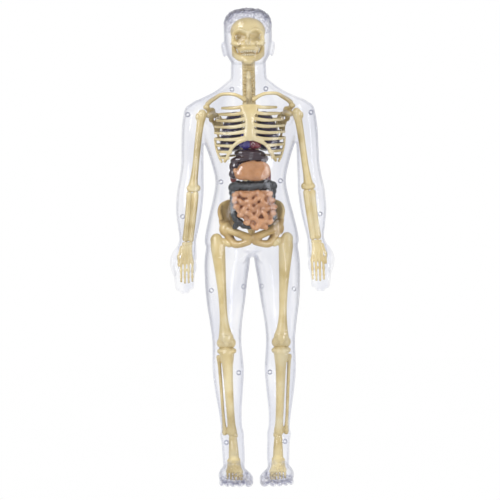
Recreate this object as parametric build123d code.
"""Clear take-apart anatomy figure: a two-half transparent body shell with a skeleton and organs inside.

Row frame: +Z up, the figure faces -Y and stands on its soles at Z = 0. Its left side is +X.
All sizes are millimetres. A section row is (z, x, y, rx, ry): an oval of half-widths rx and ry.
"""
import os
from math import cos, pi, sin

from build123d import *

# ---- driving dimensions ----
SEAM_Y = 10.0            # plane where the front and back shells meet
WALL = 1.8               # shell wall
SEAM_GAP = 0.1           # half of the gap between the two shells
PIN_R = 1.5              # snap pin radius
PIN_CLEARANCE = 0.06     # radial, in its socket
SOCKET_R = 2.7           # socket post outer radius
PIN_LENGTH = 6.0
SHOULDER_X = 55.0        # plane where an arm tube meets the trunk
SPINE_Y = 26.0           # centre of the vertebral bodies
RIB_COUNT = 9
RIB_PITCH = 7.4
RIB_TOP_Z = 448.0
RIB_THICK = 2.6
RIB_HEIGHT = 3.4
RIB_TILT = 9.0           # degrees, front end lower

# ---- body outline: sections from top to bottom ----
HEAD = [
    (566.0, 0, 8, 9, 10), (563.0, 0, 8, 19, 21), (556.0, 0, 8, 26, 28), (547.0, 0, 8, 28.5, 32),
    (532.0, 0, 8, 29.3, 33.5), (517.0, 0, 7, 27.5, 32.5), (506.0, 0, 5, 24, 29), (498.0, 0, 6, 21.5, 24.5),
    (489.0, 0, 11, 20.5, 20), (476.1, 0, 11, 23, 19.5),
]
TORSO = [
    (476.0, 0, 11, 24, 20), (468.0, 0, 11, 41, 25), (460.5, 0, 10, 56, 30), (450.0, 0, 9, 60, 34),
    (430.0, 0, 8, 60, 37), (410.0, 0, 8, 57, 37), (395.0, 0, 8.5, 52, 36.5), (380.0, 0, 9, 47.5, 36),
    (360.0, 0, 9, 42.5, 35), (340.0, 0, 9, 45.5, 35), (318.0, 0, 10, 51, 35.5), (292.0, 0, 12, 57, 36.5),
    (263.0, 0, 13, 59.5, 36),
]
ARM = [
    (461.0, 59, 10, 6, 16), (457.0, 62, 10, 13, 22), (448.0, 65.5, 10, 14, 25), (435.0, 66, 10, 14.4, 22),
    (415.0, 67.5, 10, 14.4, 18), (385.0, 69.5, 10, 13.8, 15.5), (355.0, 72, 9, 15.5, 15), (325.0, 75, 8, 16, 15),
    (300.0, 76.5, 7, 12, 12), (286.0, 78, 6, 11, 10), (270.0, 81, 4, 14.5, 10.5), (252.0, 81.5, 2, 15, 10),
    (236.0, 80.5, 1, 13, 8.5), (229.0, 80, 1, 10, 6),
]
LEG = [
    (262.8, 30.2, 13, 29.2, 35.5), (240.0, 31, 12, 27.5, 32), (215.0, 33, 11, 23.5, 28), (190.0, 33, 10, 19.5, 24),
    (168.0, 32.5, 9, 17.6, 21), (150.0, 32, 10, 18.4, 21.5), (130.0, 31.5, 12, 19.2, 22), (105.0, 31, 12, 16.8, 19),
    (80.0, 30, 12, 13.8, 15), (58.0, 28.5, 12, 13.2, 15), (42.0, 27.5, 11, 14, 16.5), (28.0, 27, 12, 14.4, 19.5),
    (12.0, 27, 13, 13.2, 19),
]
# foot sections run forward: (y, x, z centre, half-width, half-height)
FOOT_BACK_Y = 34.0
FOOT_FRONT_Y = -49.0
FOOT_X = 27.0
FOOT_TOE_IN = 3.5        # the ball of the foot is this much nearer the middle
SOLE_TRIM = 1.0          # the rounded foot reaches this far below the sole plane before it is cut flat

# ---- where the snap pins sit along the seam: (x, z) ----
PINS = [(20.5, 470.5), (36.0, 359.0), (74.5, 441.0), (83.0, 318.0),
        (11.0, 232.0), (50.0, 228.0), (18.8, 128.0), (35.4, 44.0)]


def oval(z, x, y, rx, ry, points=16):
    """A closed smooth oval in the plane Z = z, with its first point on +X."""
    ring = [(x + rx * cos(2 * pi * k / points), y + ry * sin(2 * pi * k / points), z) for k in range(points)]
    return make_face(Spline(*ring, periodic=True))


def stack(rows, ruled=False):
    """A solid through ovals: smooth, or straight from one oval to the next."""
    return loft([oval(*row) for row in rows], ruled=ruled)


def shrunk(rows, wall):
    """The same ovals, smaller by the wall."""
    return [(z, x, y, rx - wall, ry - wall) for z, x, y, rx, ry in rows]


def closed_top(rows, wall):
    """An inside that stops one wall below the first section."""
    inner = shrunk(rows, wall)
    z, x, y, rx, ry = inner[0]
    inner[0] = (z - wall, x, y, max(rx, 1.5), max(ry, 1.5))
    return inner


def half(shape, front):
    """The part of a shape in front of the seam plane, or behind it."""
    sign = -1 if front else 1
    block = Pos(0, SEAM_Y + sign * (SEAM_GAP + 150), 280) * Box(400, 300, 700)
    return shape & block


def mirrored(shape):
    return mirror(shape, Plane.YZ)


def tube(rows, inner):
    """A thin-walled tube through the outline rows."""
    return stack(rows, ruled=True) - stack(inner, ruled=True)


def open_end(rows):
    """An inside that runs a little past the last section, so that the tube is open there."""
    z, x, y, rx, ry = rows[-1]
    return rows + [(z - 1.0, x, y, rx, ry)]


def open_start(rows):
    z, x, y, rx, ry = rows[0]
    return [(z + 1.0, x, y, rx, ry)] + rows


def head_tube():
    return tube(HEAD, open_end(closed_top(HEAD, WALL)))


def torso_tube():
    """The trunk, cut flat at each shoulder, where the arm tubes meet it."""
    shape = tube(TORSO, open_start(open_end(shrunk(TORSO, WALL))))
    return shape & (Pos(0, 0, 370) * Box(2 * (SHOULDER_X - SEAM_GAP), 200, 400))


def arm_tube():
    inner = closed_top(ARM, WALL)
    z, x, y, rx, ry = inner[-1]
    inner[-1] = (z + WALL, x, y, rx, ry)
    shape = tube(ARM, inner)
    return shape & (Pos(SHOULDER_X + SEAM_GAP + 50, 0, 340) * Box(100, 200, 400))


def foot_solid(inset):
    """The foot below the ankle, drawn in by inset on every side; its sole is flat."""
    rows = [(FOOT_BACK_Y, 0, 12, 9), (24, 0, 26, 13), (8, 0, 29, 14.5), (-8, -1.5, 26, 15.5),
            (-24, -FOOT_TOE_IN, 19, 18), (-38, -FOOT_TOE_IN, 13, 18.5), (FOOT_FRONT_Y, -FOOT_TOE_IN, 8, 15)]
    faces = []
    for y, dx, top, rx in rows:
        if y == FOOT_BACK_Y:
            y -= inset
        if y == FOOT_FRONT_Y:
            y += inset
        width, height = 2 * (rx - inset), top - 2 * inset + SOLE_TRIM
        middle = inset - SOLE_TRIM + height / 2
        plane = Plane(origin=(FOOT_X + dx, y, middle), x_dir=(1, 0, 0), z_dir=(0, -1, 0))
        radius = 0.42 * min(width, height)
        faces.append(plane * RectangleRounded(width, height, radius))
    return loft(faces) & (Pos(FOOT_X, 0, inset + 50) * Box(100, 150, 100))


def leg_tube():
    outer = stack(LEG, ruled=True) + foot_solid(0)
    inner = stack(open_start(shrunk(LEG, WALL)), ruled=True) + foot_solid(WALL)
    return outer - inner


def pins():
    """Snap pins moulded to the front shell, with their heads in the sockets."""
    made = []
    for x, z in PINS:
        for side in (-1, 1):
            pin = Pos(side * x, SEAM_Y, z) * Rot(90, 0, 0) * Cylinder(PIN_R, PIN_LENGTH)
            flange_y = SEAM_Y - PIN_LENGTH / 2 - 0.9
            pin += Pos(side * x, flange_y, z) * Rot(90, 0, 0) * Cylinder(SOCKET_R, 2.0)
            made.append(pin)
    return Compound(children=made)


def sockets():
    """Tube posts moulded to the back shell, one for each pin."""
    made = []
    depth = PIN_LENGTH / 2 + 1.5
    for x, z in PINS:
        for side in (-1, 1):
            centre = Pos(side * x, SEAM_Y + SEAM_GAP + depth / 2, z) * Rot(90, 0, 0)
            made.append(centre * (Cylinder(SOCKET_R, depth) - Cylinder(PIN_R + PIN_CLEARANCE, depth)))
    return Compound(children=made)


# ---- skeleton ----
def skull():
    rows = [(557.0, 0, 12, 8, 10), (553.5, 0, 12, 15, 18), (545.0, 0, 11, 20.5, 25), (534.0, 0, 10, 21.5, 26.5),
            (524.0, 0, 7, 20, 24), (516.0, 0, 4, 17, 19.5), (511.0, 0, 3, 15, 17)]
    shape = stack(rows)
    for side in (-1, 1):
        shape -= Pos(side * 8.2, -15, 530) * Sphere(5.6)
    return shape - Pos(0, -14, 520) * Box(5, 10, 7)


def mandible():
    rows = [(510.4, 0, -1, 14.5, 13), (505.0, 0, -3.0, 12.5, 12), (499.5, 0, -4, 8.5, 8.5)]
    return stack(rows) - Pos(0, 5, 505) * Box(14, 18, 20)


def vertebrae(z_low, z_high, count, radius, y_low, y_high):
    """A run of vertebral bodies on a thinner core, each with a spinous process behind."""
    pitch = (z_high - z_low) / count
    column = None
    for k in range(count):
        share = (k + 0.5) / count
        z = z_low + pitch * (k + 0.5)
        y = y_low + (y_high - y_low) * share
        body = Pos(0, y, z) * Cylinder(radius, pitch * 0.74)
        body += Pos(0, y + radius + 1.2, z) * Box(2.0, 4.0, pitch * 0.5)
        body += Pos(0, y, z) * Cylinder(radius * 0.7, pitch)
        column = body if column is None else column + body
    return column


def rib_ring(index):
    """One flat-sided oval hoop, tilted so that its front is lower, and the height of its middle."""
    share = index / (RIB_COUNT - 1)
    rx = 27 + 17 * sin(pi * min(1.0, 0.12 + 0.62 * share) ** 0.9)
    ry = 19 + 10.0 * sin(pi * min(1.0, 0.15 + 0.5 * share))
    outer = Ellipse(max(rx, ry), min(rx, ry))
    inner = Ellipse(max(rx, ry) - RIB_THICK, min(rx, ry) - RIB_THICK)
    hoop = Pos(0, 0, -RIB_HEIGHT / 2) * extrude(outer - inner, RIB_HEIGHT)
    z = RIB_TOP_Z - RIB_PITCH * index
    return Pos(0, SEAM_Y - 1, z) * Rot(RIB_TILT, 0, 0) * hoop, z


def rib_cages():
    """The front ribs with the breastbone, and the back ribs on two strips beside the spine."""
    front = None
    back = []
    for index in range(RIB_COUNT):
        hoop, z = rib_ring(index)
        keep_front = Pos(0, SEAM_Y - 0.3 - 50, 400) * Box(200, 100, 300)
        rib = hoop & keep_front
        if index >= 6:
            rib -= Pos(0, -40, z) * Box(2 * (19 + 3.6 * (index - 6)), 80, 40)
        front = rib if front is None else front + rib
        behind = hoop & (Pos(0, SEAM_Y + 0.3 + 50, 400) * Box(200, 100, 300))
        behind -= Pos(0, SPINE_Y + 5, 400) * Box(16, 40, 300)
        back.append(behind)
    sternum_rows = [(447.5, 0, -11.5, 9, 2.2), (436, 0, -14.5, 6.5, 2.2), (418, 0, -17.6, 6, 2.2),
                    (409, 0, -18.6, 7, 2.4), (403, 0, -18.8, 3, 1.4)]
    front += stack(sternum_rows)
    for side in (-1, 1):
        margin = Spline((side * 2, -18.5, 408), (side * 12, -17.4, 404.5), (side * 20, -15.6, 399.6),
                        (side * 24.5, -12.8, 392.5), (side * 28.5, -8.8, 385.4))
        front += sweep(Plane(origin=margin @ 0, z_dir=margin % 0) * Circle(1.7), margin)
        arch = [(412, side * 42.2, 5.5, 1.6, 2.4), (402, side * 41.2, 5, 1.6, 2.4), (396, side * 39.8, 4, 1.6, 2.4), (388, side * 37, 3, 1.6, 2.4),
                (380, side * 34, 2, 1.6, 2.2)]
        front += stack(arch)
    front = max(front.solids(), key=lambda piece: piece.volume)
    strips = []
    for side in (-1, 1):
        strip = Pos(side * 9.4, SPINE_Y + 7.2, 418) * Box(2.6, 3.0, 72)
        one_side = strip
        for behind in back:
            one_side += behind & (Pos(side * 60, 40, 400) * Box(120, 200, 300))
        strips.append(one_side)
    return front, Compound(children=strips)


def pelvis():
    """Two iliac wings, the sacrum between them and the pubic bridge in front."""
    shape = stack([(334, 0, SPINE_Y + 2, 11, 6), (318, 0, SPINE_Y + 5, 11, 5), (296, 0, SPINE_Y + 8, 6, 3)])
    for side in (-1, 1):
        wing = [(338, side * 24, 21, 10, 3.2), (330, side * 31, 16, 9, 5), (315, side * 32, 11, 7.4, 6.5),
                (303, side * 27, 9, 7, 8.5), (292, side * 22, 6, 6, 8), (281, side * 17, 7, 5, 6)]
        shape += stack(wing)
        shape += Pos(side * 17, SPINE_Y - 4.5, 325) * Box(20, 12, 14)
    bridge = Pos(0, -0.5, 290) * Box(40, 5, 9)
    return shape + bridge


def clavicle():
    path = Spline((5, -9, 455), (18, -8, 462), (34, 0, 463), (46, 8, 456.5))
    return sweep(Plane(origin=path @ 0, z_dir=path % 0) * Circle(1.9), path)


def scapula():
    rows = [(446, 42, 22.6, 4, 2), (438, 39.5, 26.2, 7, 1.7), (426, 37, 29.4, 6, 1.5), (408, 34, 30.8, 3, 1.2)]
    return stack(rows) + Pos(48, 17, 444) * Box(6, 14, 5)


def humerus():
    return stack([(448, 60.5, 9, 3.2, 4), (444, 62, 9, 6, 6.5), (435, 63, 9, 5, 5.5), (415, 65, 9, 3.4, 3.8),
                 (385, 67, 9, 3.2, 3.4), (360, 69, 9, 4.6, 3.8), (352, 69.5, 9, 7, 4.6), (347.5, 69.5, 9, 5, 3.6)])


def forearm():
    ulna = stack([(346.7, 67, 9, 3.4, 4), (335, 68, 9, 2.8, 3), (310, 71, 8, 2.3, 2.4), (288.5, 73, 6, 2.6, 2.6)])
    radius = stack([(346, 74.4, 8, 3.2, 3.2), (335, 75.3, 8, 2.4, 2.6), (310, 78.2, 7, 2.5, 2.4),
                   (288.5, 79.6, 6, 3.6, 2.8)])
    return Compound(children=[ulna, radius])


def hand_bones():
    palm = stack([(287.7, 76.6, 5.5, 6, 2.8), (280, 78, 5, 7.5, 2.8), (266, 79, 3.5, 9, 2.6), (260, 79, 3, 9, 2.4)])
    for k in range(4):
        x = 72.6 + 4.3 * k
        palm += stack([(261, x, 3, 1.8, 2.2), (248, x + 0.3, 2, 1.6, 1.8), (236 + abs(k - 1.4), x + 0.5, 1.5, 1.3, 1.5)])
    return palm


def femur():
    shaft = stack([(289, 43, 11, 5, 5.5), (282, 43.5, 11, 6.8, 6.5), (262, 42, 11, 5.6, 5.5), (230, 39, 10, 4.2, 4.4),
                  (200, 36, 9, 4.4, 4.4), (178, 34, 9, 7, 6), (166, 33, 9.5, 10.5, 8), (159.5, 33, 10, 9.5, 7.5)])
    neck = Pos(34.6, 11, 283.5) * Rot(0, 62, 0) * Cylinder(3.6, 14)
    return shaft + neck


def kneecap():
    return Pos(33, -3.2, 170) * Rot(90, 0, 0) * (Cylinder(5.5, 3) & Sphere(6.0))


def shin():
    tibia = stack([(158.6, 32, 10, 10, 7.5), (150, 31.5, 10, 8.5, 7), (130, 31, 10.5, 5, 5), (95, 30, 11, 3.9, 4.2),
                  (66, 28.4, 11.5, 4.4, 4.4), (53, 27.6, 11.5, 6.4, 5), (49.5, 27.6, 11.5, 6, 4.6)])
    fibula = stack([(148, 42.8, 13, 2.1, 2.4), (120, 40.4, 13, 1.6, 1.8), (80, 37.8, 13, 1.6, 1.8),
                   (54, 36.6, 13, 2.2, 2.6)])
    return Compound(children=[tibia, fibula])


def foot_bones():
    ankle = stack([(48.8, 27, 11.5, 5.2, 5.5), (40, 27, 11, 5.2, 8), (30, 27, 11, 6.5, 11), (19, 27, 13, 5.5, 11.5),
                   (10, 27, 15, 4.5, 8)])
    for k in range(5):
        start = Vector(22 + 2.5 * k, 2, 18.5 - abs(k - 1))
        end = Vector(18.0 + 3.9 * k, -34 + 1.6 * abs(k - 0.6), 7.4)
        line = end - start
        radius = 2.3 if k == 0 else 1.7
        ankle += Plane(origin=(start + end) / 2, z_dir=line) * Cylinder(radius, line.length)
    return ankle


# ---- organs ----
def lung():
    return stack([(444, 17, 12, 5, 5), (439, 18, 11, 9, 9), (425, 21, 9, 13, 13.5), (408, 23, 9, 14, 14.5),
                  (399, 23.5, 8.5, 13.5, 13.5), (394.5, 24, 8.5, 10, 10)])


def windpipe():
    tube = Pos(0, -1.5, 458) * Cylinder(3.0, 62)
    for k in range(14):
        tube += Pos(0, -1.5, 429 + 4.3 * k) * Cylinder(3.5, 1.8)
    return tube


def gullet():
    return Pos(0, 6.5, 443) * Cylinder(2.2, 92)


def heart():
    return stack([(420, 0, -3.5, 5, 3.5), (415, 0, -4.5, 10, 5.5), (407, 0, -6, 13.5, 7), (399.7, -1, -6.5, 13.5, 7),
                  (396.2, -1, -6.5, 9, 5)])


def liver():
    """Two lobes high in front, and a right lobe that hangs beside the stomach."""
    body = stack([(395.6, -1, -4, 12, 6), (391, -2, -4, 19, 9), (385, -2.5, -4, 22.5, 10), (379, -4, -3, 21, 9),
                  (372, -14, -2, 12.5, 7), (366, -19, -2, 7.5, 6), (361.5, -20, -2, 5, 4)])
    return body - Pos(15, -17, 368) * Box(70, 20, 30)


def stomach():
    return stack([(382, 4, -14.5, 9, 4), (378, 3, -14.8, 18, 5.6), (370.5, 2, -15, 22, 6), (363.5, 2, -14.8, 17, 5.4),
                  (359.8, 2, -14.6, 9, 3.4)])


def large_intestine():
    """A frame of segmented tube: up the right side, across, and down the left side."""
    route = [(-14, -5, 304), (-24, -4, 315), (-26, -3.5, 338), (-20, -7, 351.5), (0, -9, 351.5), (18, -8, 352),
             (28, -4, 351), (29, -2, 334), (27, -3, 318), (18, -5, 306)]
    path = FilletPolyline(*route, radius=3.0)
    tube = sweep(Plane(origin=path @ 0, z_dir=path % 0) * Circle(5.2), path)
    return tube + Pos(-1, -9, 351.6) * Rot(0, 90, 0) * Cylinder(7.4, 38)


def small_intestine():
    rows = [(342.5, 2, -14.2, 15, 4.2), (336, 2, -15.0, 22, 5.5), (325, 2, -15.2, 25.5, 5.9),
            (312, 2, -15.3, 22.5, 5.9), (302, 1, -15, 15, 5.6), (296, 1, -14.5, 9, 4.2)]
    return stack(rows)


def kidney():
    return stack([(375.5, 18, 24, 2.5, 2.2), (372, 19, 24, 5.2, 4.2), (366, 19.5, 24, 6, 4.6), (360, 19, 24, 5.2, 4.2),
                  (356.5, 18, 24, 2.5, 2.2)])


def save(name, shape):
    shape.label = name
    export_step(shape, f"parts/{name}.step")


def shells():
    made = {}
    for front in (True, False):
        face = "front" if front else "back"
        made[f"{face}_shell_head"] = half(head_tube(), front)
        made[f"{face}_shell_torso"] = half(torso_tube(), front)
        made[f"{face}_shell_left_arm"] = half(arm_tube(), front)
        made[f"{face}_shell_left_leg"] = half(leg_tube(), front)
    for name in [n for n in made if "left" in n]:
        made[name.replace("left", "right")] = mirrored(made[name])
    return made


def paired(name, shape):
    return {f"left_{name}": shape, f"right_{name}": mirrored(shape)}


def build():
    made = shells()
    made["snap_pins"] = pins()
    made["snap_sockets"] = sockets()
    made["skull"] = skull()
    made["mandible"] = mandible()
    made["neck_vertebrae"] = vertebrae(451, 509, 7, 4.6, 22, 17)
    made["spine"] = vertebrae(335, 450.4, 15, 5.6, SPINE_Y, SPINE_Y - 2)
    made["rib_cage_front"], made["rib_cage_back"] = rib_cages()
    made["pelvis"] = pelvis()
    for name, maker in [("clavicle", clavicle), ("scapula", scapula), ("humerus", humerus), ("forearm_bones", forearm),
                        ("hand_bones", hand_bones), ("femur", femur), ("kneecap", kneecap), ("shin_bones", shin),
                        ("foot_bones", foot_bones), ("lung", lung), ("kidney", kidney)]:
        made.update(paired(name, maker()))
    made["windpipe"] = windpipe()
    made["gullet"] = gullet()
    made["heart"] = heart()
    made["liver"] = liver()
    made["stomach"] = stomach()
    made["large_intestine"] = large_intestine()
    made["small_intestine"] = small_intestine()
    return made


os.makedirs("parts", exist_ok=True)
for node, solid in build().items():
    save(node, solid)
